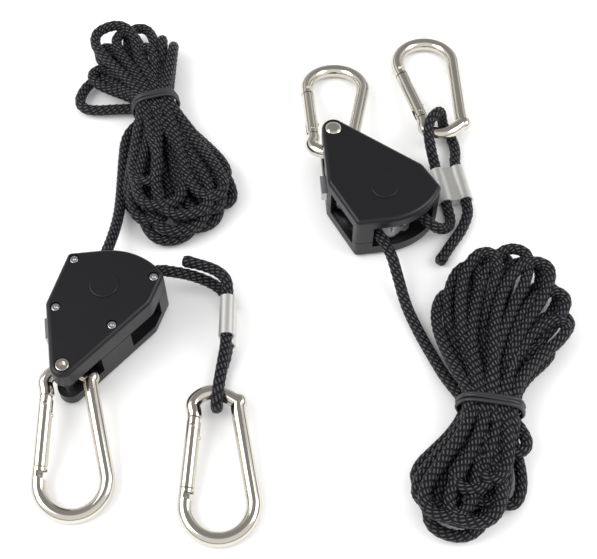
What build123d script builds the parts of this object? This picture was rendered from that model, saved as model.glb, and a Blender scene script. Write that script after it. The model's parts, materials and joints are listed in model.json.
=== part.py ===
"""Pair of adjustable rope ratchet hangers, laid out flat on a surface.

Each hanger is a two-shell housing with a ratcheting rope sheave, a release pawl, a spring snap hook
on the tip pin, a braided rope whose load end is closed round a second snap hook by a double-barrel
ferrule, and a free end tied up in a hank. The right hanger lies plain side up, the left one screw
side up. Millimetres, +Z up, origin below the right hanger's sheave axle on the resting surface.
"""
import os
from math import asin, atan2, cos, degrees, hypot, pi, radians, sin, tan

from build123d import *

# ---------------------------------------------------------------- housing
THICKNESS = 20.5            # over both flat faces
SPLIT_Z = 8.0               # depth of the screw shell, from its flat face
PLATE = 4.5                 # cheek plate of either shell
WALL = 1.6                  # rim wall
EDGE_ROUND = 1.5            # rounding of both flat faces
PARTING_DEPTH = 0.25        # fine groove where the shells meet
PARTING_WIDTH = 0.12        # taken from each shell
HUB_DISC_RADIUS = 4.6
HUB_DISC_HEIGHT = 0.4       # raised disc over the axle
HUB_DISC_ROUND = 0.35
TIP_Y = 29.4                # tip pin above the sheave axle
TIP_RADIUS = 3.9
SHOULDER = (-14.3, 12.0)    # outline corners about the axle, lever side negative
HEEL = (-15.7, -6.9)
BOTTOM_START = (-5.3, -12.1)
BOTTOM_MIDDLE = (4.0, -14.0)
TOE = (15.7, -10.2)
HIP = (16.0, 0.6)
HEEL_ROUND = 1.5
SHOULDER_ROUND = 3.0
HIP_ROUND = 4.0
SLOT_FLOOR_Y = 20.8         # end of the hook slot between the cheeks
SLOT_BOTTOM_Z = 7.2
SLOT_TOP_Z = 15.0
SLOT_WEB = 2.0              # web that closes the sheave chamber behind the slot
WINDOW_Z = 5.3              # lower lip of the rope openings
SIDE_WINDOW_Y = (-4.5, 9.6)     # lever side opening
HIP_WINDOW_Y = (-4.6, 9.5)      # opposite opening, in the plain shell only
MOUTH_X = (-10.7, 11.2)     # rope opening along the bottom
MOUTH_Y = (-20.0, -7.2)

# ---------------------------------------------------------------- screws and tip pin
SCREW_POSITIONS = ((-10.7, 12.25), (8.2, 11.9), (-12.9, -5.3), (13.2, -8.1))
SCREW_HEAD_RADIUS = 1.45
SCREW_HEAD_HEIGHT = 1.0
SCREW_SINK = 0.3            # head below the flat face
SCREW_RADIUS = 0.85
SCREW_LENGTH = 14.0
POST_RADIUS = 2.0
PIVOT_POST_RADIUS = 1.6     # the post that the pawl turns on
PIN_RADIUS = 1.5
PIN_HEAD_RADIUS = 2.1
PIN_HEAD_HEIGHT = 1.7
PIN_THREAD_RADIUS = 0.9
PIN_THREAD_LENGTH = 8.0
HEX_SOCKET_RADIUS = 1.1
PIN_CLEARANCE = 0.3         # between the pin and the hook that hangs on it
DOME_RADIUS = 2.8
DOME_HEIGHT = 1.3
DOME_SEAT = 0.9             # depth of the dome's seat in the plain shell
SEAT_GAP = 0.15
BORE_GAP = 0.04

# ---------------------------------------------------------------- sheave, axle and pawl
SHEAVE_RADIUS = 11.2
SHEAVE_WIDTH = 8.0
SHEAVE_Z = 10.3             # mid plane of the rope
GROOVE_MOUTH = 3.2          # half width at the rim
GROOVE_FLOOR = 2.1          # half width at the floor
GROOVE_FLOOR_RADIUS = 5.7
SHEAVE_HUB_RADIUS = 4.0
HUB_END_GAP = 0.3
TEETH = 12
TOOTH_DEPTH = 0.9
CATCH_FLANK = 0.115         # radians taken by the catching flank
TOOTH_CREST = 0.15
GRIP_RIB_THICKNESS = 0.5
GRIP_RIB_HEIGHT = 0.25
AXLE_RADIUS = 2.0
AXLE_SOCKET = 2.0
PAWL_HUB_RADIUS = 2.45
PAWL_WIDTH = 7.6
PAWL_POCKET_GAP = 0.35
TAB_WIDTH = 3.8
TAB_PROUD = 1.8             # thumb tab outside the wall
TAB_INSIDE = 2.2
TAB_ALONG = (0.9, 8.1)      # thumb tab along the wall, from the shoulder corner
LEVER_SLOT_ALONG = (0.5, 10.2)
NOSE_TOOTH = 5              # tooth gap that the nose rests in
NOSE_CLEARANCE = 0.25
SPRING_WIRE_RADIUS = 0.25
SPRING_RADIUS = 2.1
SPRING_TURNS = 1.5

# ---------------------------------------------------------------- snap hooks
HOOK_LENGTH = 50.0
WIRE_RADIUS = 2.3
SMALL_BEND = 6.65           # centreline radius of the small end
BIG_BEND = 10.2             # centreline radius of the big end
GATE_START = 2.3            # along the gate side, from the small bend
GATE_END = 24.0
HINGE_ALONG = 4.9
HINGE_ROUND = 2.6
TONGUE_THICKNESS = 1.7
TONGUE_HALF_WIDTH = 1.8
TONGUE_GAP = 0.2
RIVET_RADIUS = 0.75
FRAME_GAP = 0.4             # between gate and frame ends
EYE_BULGE = 0.8             # small end stands out from the tapered sides
EYE_WIDEST = -2.0           # along the sides
EYE_SHOULDER = 4.0
SPRING_SEAT_ALONG = 8.4     # peened seat of the gate's spring, on the inner side
SPRING_SEAT_RADIUS = 0.8
LATCH_REACH = 3.6           # latch tongue beyond the gate's end
LATCH_THICKNESS = 1.3
LATCH_PIN_RADIUS = 0.55
LATCH_PIN_LENGTH = 3.6

# ---------------------------------------------------------------- rope, ferrule and band
ROPE_RADIUS = 2.0
ROPE_GAP = 0.3
ROPE_ON_SHEAVE = GROOVE_FLOOR_RADIUS + ROPE_RADIUS + ROPE_GAP    # rope centreline about the axle
LOAD_LEG_END = -8.5
LOAD_TURN = -15.6           # where the load rope turns away below the mouth
FREE_LEG_END = -4.0
FREE_TURN = -14.5
FERRULE_LENGTH = 13.8
BARREL_RADIUS = 2.6
BARREL_SPACING = 7.0
FERRULE_WEB = 3.0
HANK_HEIGHT = 14.0
HANK_ROUND = 4.5
BAND_WIDTH = 3.4
BAND_THICKNESS = 1.4

# ---------------------------------------------------------------- the pair on the surface
RIGHT_TURN = 33.8
LEFT_TURN = -200.36
LEFT_CENTRE = (-88.53, -37.16)
STAND_Z = HUB_DISC_HEIGHT
FLIPPED_Z = THICKNESS + HUB_DISC_HEIGHT

right_pose = Location((0, 0, STAND_Z), (0, 0, RIGHT_TURN))
left_pose = Location((*LEFT_CENTRE, FLIPPED_Z), (0, 0, LEFT_TURN)) * Location((0, 0, 0), (0, 180, 0))


def save(piece, name):
    """Label a finished piece and write it as one STEP file."""
    piece.label = name
    export_step(piece, f"parts/{name}.step")


# ================================================================ housing
def tangent_to_tip(corner, side):
    """Direction from a corner along the line that touches the tip circle on the given side."""
    reach_x, reach_y = -corner[0], TIP_Y - corner[1]
    opening = asin(TIP_RADIUS / hypot(reach_x, reach_y))
    angle = atan2(reach_y, reach_x) + side * opening
    return cos(angle), sin(angle)


LEVER_SIDE = tangent_to_tip(SHOULDER, 1)
HIP_SIDE = tangent_to_tip(HIP, -1)


def tip_apex():
    """Point where the two long sides would meet beyond the rounded tip."""
    gap_x, gap_y = HIP[0] - SHOULDER[0], HIP[1] - SHOULDER[1]
    cross = LEVER_SIDE[0] * HIP_SIDE[1] - LEVER_SIDE[1] * HIP_SIDE[0]
    along = (gap_x * HIP_SIDE[1] - gap_y * HIP_SIDE[0]) / cross
    return SHOULDER[0] + along * LEVER_SIDE[0], SHOULDER[1] + along * LEVER_SIDE[1]


def along_lever_side(along, outward):
    """Point by its distance along the lever side from the shoulder and outwards from it."""
    return (
        SHOULDER[0] + along * LEVER_SIDE[0] - outward * LEVER_SIDE[1],
        SHOULDER[1] + along * LEVER_SIDE[1] + outward * LEVER_SIDE[0],
    )


def housing_outline(inset=0.0):
    """Teardrop outline of both shells, about the sheave axle."""
    apex = tip_apex()
    with BuildSketch() as outline:
        with BuildLine():
            Polyline(HIP, apex, SHOULDER, HEEL, BOTTOM_START)
            ThreePointArc(BOTTOM_START, BOTTOM_MIDDLE, TOE)
            Line(TOE, HIP)
        make_face()
        corners = outline.vertices()
        fillet(corners.sort_by_distance(apex)[0], TIP_RADIUS)
        fillet(outline.vertices().sort_by_distance(SHOULDER)[0], SHOULDER_ROUND)
        fillet(outline.vertices().sort_by_distance(HIP)[0], HIP_ROUND)
        fillet(outline.vertices().sort_by_distance(HEEL)[0], HEEL_ROUND)
        fillet(outline.vertices().sort_by_distance(TOE)[0], HEEL_ROUND)
        if inset:
            offset(amount=-inset)
    return outline.sketch


def chamber_outline():
    """Inside of the rim wall, closed by the web behind the hook slot."""
    with BuildSketch() as chamber:
        add(housing_outline(WALL))
        with Locations((0, SLOT_FLOOR_Y - SLOT_WEB)):
            Rectangle(60, 30, align=(Align.CENTER, Align.MIN), mode=Mode.SUBTRACT)
    return chamber.sketch


def shell_blank(bottom, top, flat_face):
    """Shell block between two heights, with its flat face rounded and its hub disc raised."""
    with BuildPart() as blank:
        with BuildSketch(Plane.XY.offset(bottom)):
            add(housing_outline())
        extrude(amount=top - bottom)
        outer = blank.faces().sort_by(Axis.Z)[-1 if flat_face == top else 0]
        fillet(outer.edges(), EDGE_ROUND)
        reach = HUB_DISC_HEIGHT if flat_face == top else -HUB_DISC_HEIGHT
        with BuildSketch(Plane.XY.offset(flat_face)):
            Circle(HUB_DISC_RADIUS)
        extrude(amount=reach)
        disc_edge = blank.edges().filter_by(GeomType.CIRCLE).filter_by(
            lambda e: abs(e.center().Z - flat_face - reach) < 0.01 and abs(e.radius - HUB_DISC_RADIUS) < 0.01
        )
        fillet(disc_edge, HUB_DISC_ROUND)
    return blank.part


def cut_box(x_range, y_range, z_range):
    """Box between limits, to be cut from the part being built."""
    with Locations((x_range[0], y_range[0], z_range[0])):
        Box(
            x_range[1] - x_range[0],
            y_range[1] - y_range[0],
            z_range[1] - z_range[0],
            align=(Align.MIN, Align.MIN, Align.MIN),
            mode=Mode.SUBTRACT,
        )


def parting_groove(bottom):
    """Fine groove round the joint of the shells, cut from the part being built."""
    with BuildSketch(Plane.XY.offset(bottom)) as groove:
        add(housing_outline(-1))
        add(housing_outline(PARTING_DEPTH), mode=Mode.SUBTRACT)
    extrude(groove.sketch, amount=PARTING_WIDTH, mode=Mode.SUBTRACT)


def pawl_pocket(bottom, top):
    """Clear round space for the pawl's hub, cut from the part being built."""
    with BuildSketch(Plane.XY.offset(bottom)) as pocket:
        with Locations(SCREW_POSITIONS[0]):
            Circle(PAWL_HUB_RADIUS + PAWL_POCKET_GAP)
    extrude(pocket.sketch, amount=top - bottom, mode=Mode.SUBTRACT)


def screw_posts(bottom, top):
    """Posts for the four screws, added to the part being built; the pawl turns on the slim one."""
    for index, position in enumerate(SCREW_POSITIONS):
        with BuildSketch(Plane.XY.offset(bottom)) as post:
            with Locations(position):
                Circle(POST_RADIUS if index else PIVOT_POST_RADIUS)
        extrude(post.sketch, amount=top - bottom)


POCKET_BOTTOM = SHEAVE_Z - PAWL_WIDTH / 2 - HUB_END_GAP
POCKET_TOP = THICKNESS - PLATE


def plain_shell():
    """Deeper shell: plain cheek, hook slot, windows, lever slot, posts and the dome's seat."""
    chamber_top = THICKNESS - PLATE
    with BuildPart() as shell:
        add(shell_blank(SPLIT_Z, THICKNESS, THICKNESS))
        with BuildSketch(Plane.XY.offset(SPLIT_Z)):
            add(chamber_outline())
        extrude(amount=chamber_top - SPLIT_Z, mode=Mode.SUBTRACT)
        cut_box((-30, 30), (SLOT_FLOOR_Y, 40), (SPLIT_Z - 1, SLOT_TOP_Z))
        cut_box((-20, SHOULDER[0] + WALL + 1), SIDE_WINDOW_Y, (SPLIT_Z - 1, chamber_top))
        cut_box((HIP[0] - WALL - 5, 25), HIP_WINDOW_Y, (SPLIT_Z - 1, chamber_top))
        cut_box(MOUTH_X, MOUTH_Y, (SPLIT_Z - 1, chamber_top))
        parting_groove(SPLIT_Z)
        pawl_pocket(SPLIT_Z - 1, POCKET_TOP)
        with BuildSketch(Plane.XY.offset(SPLIT_Z)):
            Polygon(
                along_lever_side(LEVER_SLOT_ALONG[0], 2),
                along_lever_side(LEVER_SLOT_ALONG[0], -3),
                along_lever_side(LEVER_SLOT_ALONG[1], -3),
                along_lever_side(LEVER_SLOT_ALONG[1], 2),
                align=None,
            )
        extrude(amount=SHEAVE_Z + TAB_WIDTH / 2 + ROPE_GAP - SPLIT_Z, mode=Mode.SUBTRACT)
        screw_posts(SPLIT_Z, chamber_top + 0.5)
        for position in SCREW_POSITIONS:
            with BuildSketch(Plane.XY.offset(SPLIT_Z)):
                with Locations(position):
                    Circle(SCREW_RADIUS + BORE_GAP)
            extrude(amount=SCREW_LENGTH + SCREW_SINK + SEAT_GAP - SPLIT_Z, mode=Mode.SUBTRACT)
        with BuildSketch(Plane.XY.offset(chamber_top)):
            Circle(AXLE_RADIUS + BORE_GAP)
        extrude(amount=AXLE_SOCKET, mode=Mode.SUBTRACT)
        with BuildSketch(Plane.XY.offset(SPLIT_Z)):
            with Locations((0, TIP_Y)):
                Circle(PIN_RADIUS + BORE_GAP)
        extrude(amount=THICKNESS, mode=Mode.SUBTRACT)
        with BuildSketch(Plane.XY.offset(THICKNESS - DOME_SEAT)):
            with Locations((0, TIP_Y)):
                Circle(DOME_RADIUS + SEAT_GAP)
        extrude(amount=THICKNESS, mode=Mode.SUBTRACT)
    return shell.part


def screw_shell():
    """Shallow shell: cheek with four counterbored screw holes and the socket screw's seat."""
    with BuildPart() as shell:
        add(shell_blank(0, SPLIT_Z, 0))
        with BuildSketch(Plane.XY.offset(PLATE)):
            add(chamber_outline())
        extrude(amount=SPLIT_Z, mode=Mode.SUBTRACT)
        cut_box((-30, 30), (SLOT_FLOOR_Y, 40), (SLOT_BOTTOM_Z, SPLIT_Z + 1))
        cut_box((-20, SHOULDER[0] + WALL + 1), SIDE_WINDOW_Y, (WINDOW_Z, SPLIT_Z + 1))
        cut_box(MOUTH_X, MOUTH_Y, (WINDOW_Z, SPLIT_Z + 1))
        parting_groove(SPLIT_Z - PARTING_WIDTH)
        pawl_pocket(POCKET_BOTTOM, SPLIT_Z + 1)
        screw_posts(PLATE - 0.5, SPLIT_Z)
        for position in SCREW_POSITIONS:
            with Locations(Location((*position, 0), (180, 0, 0))):
                CounterBoreHole(
                    SCREW_RADIUS + BORE_GAP,
                    SCREW_HEAD_RADIUS + SEAT_GAP,
                    SCREW_HEAD_HEIGHT + SCREW_SINK,
                    depth=THICKNESS,
                )
        with BuildSketch(Plane.XY.offset(PLATE - AXLE_SOCKET)):
            Circle(AXLE_RADIUS + BORE_GAP)
        extrude(amount=AXLE_SOCKET, mode=Mode.SUBTRACT)
        with Locations(Location((0, TIP_Y, 0), (180, 0, 0))):
            CounterBoreHole(
                PIN_RADIUS + BORE_GAP, PIN_HEAD_RADIUS + SEAT_GAP, PIN_HEAD_HEIGHT, depth=THICKNESS
            )
    return shell.part


def housing_screws():
    """Four pan-head screws with cross recesses, heads sunk in the screw shell."""
    with BuildPart() as screws:
        for position in SCREW_POSITIONS:
            with BuildSketch(Plane.XY.offset(SCREW_SINK)):
                with Locations(position):
                    Circle(SCREW_HEAD_RADIUS)
            head = extrude(amount=SCREW_HEAD_HEIGHT)
            fillet(head.edges().filter_by(GeomType.CIRCLE).sort_by(Axis.Z)[0], 0.4)
            with BuildSketch(Plane.XY.offset(SCREW_SINK + SCREW_HEAD_HEIGHT)):
                with Locations(position):
                    Circle(SCREW_RADIUS)
            extrude(amount=SCREW_LENGTH - SCREW_HEAD_HEIGHT)
            with BuildSketch(Plane.XY.offset(SCREW_SINK)):
                with Locations(position):
                    Rectangle(1.7, 0.4)
                    Rectangle(0.4, 1.7)
            extrude(amount=0.6, mode=Mode.SUBTRACT)
    return screws.part


def pin_screw():
    """Socket screw of the tip pin, threaded into the barrel."""
    with BuildPart() as screw:
        with BuildSketch():
            with Locations((0, TIP_Y)):
                Circle(PIN_HEAD_RADIUS)
        extrude(amount=PIN_HEAD_HEIGHT)
        fillet(screw.edges().sort_by(Axis.Z)[0], 0.3)
        with BuildSketch(Plane.XY.offset(PIN_HEAD_HEIGHT)):
            with Locations((0, TIP_Y)):
                Circle(PIN_THREAD_RADIUS)
        extrude(amount=PIN_THREAD_LENGTH)
        with BuildSketch():
            with Locations((0, TIP_Y)):
                RegularPolygon(HEX_SOCKET_RADIUS, 6)
        extrude(amount=1.1, mode=Mode.SUBTRACT)
    return screw.part


def pin_barrel():
    """Domed barrel of the tip pin, bored for the socket screw; the snap hook hangs on it."""
    seat_z = THICKNESS - DOME_SEAT
    barrel_bottom = PIN_HEAD_HEIGHT + SEAT_GAP
    rise = DOME_HEIGHT * 0.6
    dome = (DOME_RADIUS**2 + rise**2) / (2 * rise)
    with BuildPart() as barrel:
        with BuildSketch(Plane.XZ.offset(-TIP_Y)):
            with BuildLine():
                Polyline(
                    (0, seat_z + DOME_HEIGHT),
                    (0, barrel_bottom),
                    (PIN_RADIUS, barrel_bottom),
                    (PIN_RADIUS, seat_z),
                    (DOME_RADIUS, seat_z),
                    (DOME_RADIUS, seat_z + DOME_HEIGHT - rise),
                )
                RadiusArc(
                    (DOME_RADIUS, seat_z + DOME_HEIGHT - rise), (0, seat_z + DOME_HEIGHT), -dome
                )
            make_face()
        revolve(axis=Axis((0, TIP_Y, 0), (0, 0, 1)))
        with BuildSketch(Plane.XY.offset(barrel_bottom)):
            with Locations((0, TIP_Y)):
                Circle(PIN_THREAD_RADIUS + BORE_GAP)
        extrude(amount=PIN_THREAD_LENGTH, mode=Mode.SUBTRACT)
    return barrel.part


# ================================================================ sheave and pawl
def polar_point(radius, angle):
    """Point about the sheave axle; the angle is in radians."""
    return radius * cos(angle), radius * sin(angle)


def ratchet_outline():
    """Saw-tooth rim: each tooth has a steep catching flank, a short crest and a gentle back."""
    pitch = radians(360 / TEETH)
    root = SHEAVE_RADIUS - TOOTH_DEPTH
    points = []
    for index in range(TEETH):
        start = index * pitch
        points.append(polar_point(root, start))
        points.append(polar_point(SHEAVE_RADIUS, start + CATCH_FLANK))
        points.append(polar_point(SHEAVE_RADIUS, start + CATCH_FLANK + TOOTH_CREST))
    with BuildSketch() as rim:
        Polygon(*points, align=None)
    return rim.sketch


def sheave():
    """Cast sheave: ratchet-toothed flanges, V groove with grip ribs and long hub bosses."""
    half = SHEAVE_WIDTH / 2
    hub_bottom = PLATE + HUB_END_GAP
    hub_top = THICKNESS - PLATE - HUB_END_GAP
    with BuildPart() as wheel:
        with BuildSketch(Plane.XY.offset(SHEAVE_Z - half)):
            add(ratchet_outline())
        extrude(amount=SHEAVE_WIDTH)
        with BuildSketch(Plane.XZ):
            with BuildLine():
                Polyline(
                    (GROOVE_FLOOR_RADIUS, SHEAVE_Z - GROOVE_FLOOR),
                    (SHEAVE_RADIUS + 1, SHEAVE_Z - GROOVE_MOUTH - 0.2),
                    (SHEAVE_RADIUS + 1, SHEAVE_Z + GROOVE_MOUTH + 0.2),
                    (GROOVE_FLOOR_RADIUS, SHEAVE_Z + GROOVE_FLOOR),
                    close=True,
                )
            make_face()
        revolve(axis=Axis.Z, mode=Mode.SUBTRACT)
        for side in (1, -1):
            with BuildSketch(Plane.XY.offset(SHEAVE_Z + side * (GROOVE_MOUTH - 0.2))):
                with PolarLocations((GROOVE_FLOOR_RADIUS + SHEAVE_RADIUS) / 2 - 0.6, TEETH, start_angle=15):
                    Rectangle(SHEAVE_RADIUS - GROOVE_FLOOR_RADIUS - 1.6, GRIP_RIB_THICKNESS)
            extrude(amount=-side * (0.5 + GRIP_RIB_HEIGHT))
        with BuildSketch(Plane.XY.offset(hub_bottom)):
            Circle(SHEAVE_HUB_RADIUS)
        extrude(amount=hub_top - hub_bottom)
        with BuildSketch(Plane.XY.offset(hub_bottom)):
            Circle(AXLE_RADIUS + BORE_GAP)
        extrude(amount=hub_top - hub_bottom, mode=Mode.SUBTRACT)
    return wheel.part


def sheave_axle():
    """Steel pin between the two cheeks."""
    bottom = PLATE - AXLE_SOCKET + BORE_GAP
    top = THICKNESS - PLATE + AXLE_SOCKET - BORE_GAP
    with BuildPart() as axle:
        with BuildSketch(Plane.XY.offset(bottom)):
            Circle(AXLE_RADIUS)
        extrude(amount=top - bottom)
        chamfer(axle.edges().filter_by(GeomType.CIRCLE), 0.3)
    return axle.part


def release_pawl():
    """Pawl on the pivot post: full-width nose in a tooth gap, narrow thumb tab through the wall."""
    pivot = Vector(*SCREW_POSITIONS[0])
    bottom = SHEAVE_Z - PAWL_WIDTH / 2
    nose_angle = radians(NOSE_TOOTH * 360 / TEETH) - NOSE_CLEARANCE / SHEAVE_RADIUS * 2
    nose_tip = polar_point(SHEAVE_RADIUS - TOOTH_DEPTH + NOSE_CLEARANCE, nose_angle)
    nose_back = polar_point(SHEAVE_RADIUS + 0.6, nose_angle + CATCH_FLANK)
    nose_front = polar_point(SHEAVE_RADIUS + 0.5, nose_angle - 2 * CATCH_FLANK)
    with BuildPart() as pawl:
        with BuildSketch(Plane.XY.offset(bottom)):
            with Locations(pivot):
                Circle(PAWL_HUB_RADIUS)
            Polygon(
                nose_tip,
                nose_front,
                (pivot.X + 1.9, pivot.Y - 1.4),
                (pivot.X - 1.9, pivot.Y - 1.5),
                nose_back,
                align=None,
            )
        extrude(amount=PAWL_WIDTH)
        with BuildSketch(Plane.XY.offset(SHEAVE_Z - TAB_WIDTH / 2)):
            Polygon(
                along_lever_side(TAB_ALONG[0], TAB_PROUD),
                along_lever_side(TAB_ALONG[0], -TAB_INSIDE),
                along_lever_side(TAB_ALONG[0] + 3.5, -TAB_INSIDE - 1.6),
                along_lever_side(TAB_ALONG[1], -0.6),
                along_lever_side(TAB_ALONG[1], TAB_PROUD),
                align=None,
            )
        extrude(amount=TAB_WIDTH)
        with BuildSketch(Plane.XY.offset(bottom)):
            with Locations(pivot):
                Circle(PIVOT_POST_RADIUS + BORE_GAP)
        extrude(amount=PAWL_WIDTH, mode=Mode.SUBTRACT)
    return pawl.part


def pawl_spring():
    """Torsion spring round the pivot post, between the pawl and the plain cheek."""
    room = THICKNESS - PLATE - (SHEAVE_Z + PAWL_WIDTH / 2)
    pitch = 2.4 * SPRING_WIRE_RADIUS
    bottom = SHEAVE_Z + PAWL_WIDTH / 2 + (room - SPRING_TURNS * pitch) / 2
    with BuildPart() as spring:
        with BuildLine(Plane.XY.offset(bottom)):
            coil = Helix(pitch, SPRING_TURNS * pitch, SPRING_RADIUS, center=(*SCREW_POSITIONS[0], 0))
        with BuildSketch(Plane(coil @ 0, z_dir=coil % 0)):
            Circle(SPRING_WIRE_RADIUS)
        sweep(path=coil, is_frenet=True)
    return spring.part


# ================================================================ snap hooks
BEND_SPACING = HOOK_LENGTH - 2 * WIRE_RADIUS - SMALL_BEND - BIG_BEND
SIDE_LEAN = asin((BIG_BEND - SMALL_BEND) / BEND_SPACING)


def on_gate_side(along, outward=0.0):
    """Point by its distance along the gate side from the small bend and outwards from its line."""
    return (
        (SMALL_BEND + outward) * cos(SIDE_LEAN) + along * sin(SIDE_LEAN),
        -(SMALL_BEND + outward) * sin(SIDE_LEAN) + along * cos(SIDE_LEAN),
    )


def on_spine(along, outward=0.0):
    """Point on the closed side, opposite the gate."""
    across, up = on_gate_side(along, outward)
    return -across, up


def gate_plane(along, height=0.0):
    """Plane across the gate side: local X points outwards, local Z runs towards the big bend."""
    return Plane((*on_gate_side(along), height), x_dir=(cos(SIDE_LEAN), -sin(SIDE_LEAN), 0),
                 z_dir=(sin(SIDE_LEAN), cos(SIDE_LEAN), 0))


def hook_frame():
    """Pear-shaped wire frame, open along the gate, with hinge tongue and slotted latch end."""
    frame_start = GATE_START - FRAME_GAP
    frame_end = GATE_END + FRAME_GAP
    side_length = BEND_SPACING * cos(SIDE_LEAN)
    spine_top = on_spine(side_length)
    hinge = on_gate_side(HINGE_ALONG)
    latch = GATE_END + LATCH_REACH - 1.3
    with BuildPart() as frame:
        with BuildLine() as wire:
            Spline(
                on_gate_side(frame_start),
                on_gate_side(EYE_WIDEST, EYE_BULGE),
                (0, -SMALL_BEND),
                on_spine(EYE_WIDEST, EYE_BULGE),
                on_spine(EYE_SHOULDER),
                tangents=((-sin(SIDE_LEAN), -cos(SIDE_LEAN)), (-sin(SIDE_LEAN), cos(SIDE_LEAN))),
            )
            Line(on_spine(EYE_SHOULDER), spine_top)
            ThreePointArc(spine_top, (0, BEND_SPACING + BIG_BEND), on_gate_side(side_length))
            Line(on_gate_side(side_length), on_gate_side(frame_end))
        with BuildSketch(gate_plane(frame_start)):
            Circle(WIRE_RADIUS)
        sweep(path=wire.line)
        with BuildSketch(Plane.XY.offset(-TONGUE_THICKNESS / 2)):
            with Locations(hinge):
                Circle(TONGUE_HALF_WIDTH)
            Polygon(
                on_gate_side(HINGE_ALONG, TONGUE_HALF_WIDTH),
                on_gate_side(HINGE_ALONG, -TONGUE_HALF_WIDTH),
                on_gate_side(frame_start - 1, -TONGUE_HALF_WIDTH),
                on_gate_side(frame_start - 1, TONGUE_HALF_WIDTH),
                align=None,
            )
        extrude(amount=TONGUE_THICKNESS)
        with BuildSketch(Plane.XY.offset(-TONGUE_THICKNESS / 2)):
            with Locations(hinge):
                Circle(RIVET_RADIUS + BORE_GAP)
        extrude(amount=TONGUE_THICKNESS, mode=Mode.SUBTRACT)
        with BuildSketch(Plane.XY.offset(-LATCH_THICKNESS / 2 - ROPE_GAP)):
            Polygon(
                on_gate_side(frame_end - 0.5, 1.4),
                on_gate_side(frame_end - 0.5, -WIRE_RADIUS - 0.5),
                on_gate_side(GATE_END + LATCH_REACH + 0.6, -WIRE_RADIUS - 0.5),
                on_gate_side(GATE_END + LATCH_REACH + 0.6, 1.4),
                align=None,
            )
        extrude(amount=LATCH_THICKNESS + 2 * ROPE_GAP, mode=Mode.SUBTRACT)
        with BuildSketch(Plane.XY.offset(-WIRE_RADIUS - 1)):
            Polygon(
                on_gate_side(latch - LATCH_PIN_RADIUS - 0.35, LATCH_PIN_RADIUS + 0.1),
                on_gate_side(latch - LATCH_PIN_RADIUS - 0.35, -WIRE_RADIUS - 0.5),
                on_gate_side(latch + LATCH_PIN_RADIUS + 1.5, -WIRE_RADIUS - 0.5),
                on_gate_side(latch + LATCH_PIN_RADIUS + 0.35, LATCH_PIN_RADIUS + 0.1),
                align=None,
            )
        extrude(amount=2 * WIRE_RADIUS + 2, mode=Mode.SUBTRACT)
    return frame.part


def hook_gate():
    """Spring gate: slotted at the hinge, with a latch tongue and cross pin at its free end."""
    hinge = on_gate_side(HINGE_ALONG)
    latch = GATE_END + LATCH_REACH - 1.3
    slot = TONGUE_THICKNESS + 2 * TONGUE_GAP
    with BuildPart() as gate:
        with BuildSketch(gate_plane(HINGE_ALONG - HINGE_ROUND - 1)):
            Circle(WIRE_RADIUS)
        extrude(amount=GATE_END - HINGE_ALONG + HINGE_ROUND + 1)
        with BuildSketch(Plane.XY.offset(-WIRE_RADIUS - 1)):
            Polygon(
                on_gate_side(HINGE_ALONG, 6), on_gate_side(HINGE_ALONG, -6),
                on_gate_side(HINGE_ALONG - 8, -6), on_gate_side(HINGE_ALONG - 8, 6), align=None,
            )
            with Locations(hinge):
                Circle(HINGE_ROUND, mode=Mode.SUBTRACT)
        extrude(amount=2 * WIRE_RADIUS + 2, mode=Mode.SUBTRACT)
        with BuildSketch(Plane.XY.offset(-slot / 2)):
            Polygon(
                on_gate_side(HINGE_ALONG - 8, 6), on_gate_side(HINGE_ALONG - 8, -6),
                on_gate_side(HINGE_ALONG + HINGE_ROUND, -6), on_gate_side(HINGE_ALONG + HINGE_ROUND, 6),
                align=None,
            )
        extrude(amount=slot, mode=Mode.SUBTRACT)
        with BuildSketch(Plane.XY.offset(-LATCH_THICKNESS / 2)):
            Polygon(
                on_gate_side(GATE_END - 1, 1.0), on_gate_side(GATE_END - 1, -1.5),
                on_gate_side(GATE_END + LATCH_REACH, -1.0), on_gate_side(GATE_END + LATCH_REACH, 0.8),
                align=None,
            )
        extrude(amount=LATCH_THICKNESS)
        with BuildSketch(Plane.XY.offset(-LATCH_PIN_LENGTH / 2)):
            with Locations(on_gate_side(latch)):
                Circle(LATCH_PIN_RADIUS)
        extrude(amount=LATCH_PIN_LENGTH)
        with Locations((*on_gate_side(SPRING_SEAT_ALONG, SPRING_SEAT_RADIUS / 2 - WIRE_RADIUS), 0)):
            Sphere(SPRING_SEAT_RADIUS)
        with BuildSketch(Plane.XY.offset(-WIRE_RADIUS)):
            with Locations(hinge):
                Circle(RIVET_RADIUS + BORE_GAP)
        extrude(amount=2 * WIRE_RADIUS, mode=Mode.SUBTRACT)
    return gate.part


def gate_rivet():
    """Rivet through the gate's cheeks and the frame's tongue."""
    with BuildPart() as rivet:
        with BuildSketch(Plane.XY.offset(-WIRE_RADIUS)):
            with Locations(on_gate_side(HINGE_ALONG)):
                Circle(RIVET_RADIUS)
        extrude(amount=2 * WIRE_RADIUS)
        fillet(rivet.edges().filter_by(GeomType.CIRCLE), 0.3)
    return rivet.part


# ================================================================ rope and what is on it
def rope_tube(points, name):
    """Round rope through hand-placed points: straight runs joined by arcs as large as they allow."""
    corners = [Vector(*point) for point in points]
    radii = []
    for before, corner, after in zip(corners, corners[1:], corners[2:]):
        turn = radians((corner - before).get_angle(after - corner))
        shorter = min((corner - before).length, (after - corner).length)
        radii.append(0.45 * shorter / tan(turn / 2))
    with BuildPart() as tube:
        with BuildLine() as path:
            FilletPolyline(*corners, radius=radii)
        with BuildSketch(Plane(corners[0], z_dir=corners[1] - corners[0])):
            Circle(ROPE_RADIUS)
        sweep(path=path.line)
    length = path.wire().length
    expected = length * pi * ROPE_RADIUS**2
    print(f"{name}: length {length:.1f}, radii {[round(r, 1) for r in radii]}, "
          f"volume ratio {tube.part.volume / expected:.4f}")
    return tube.part


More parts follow.
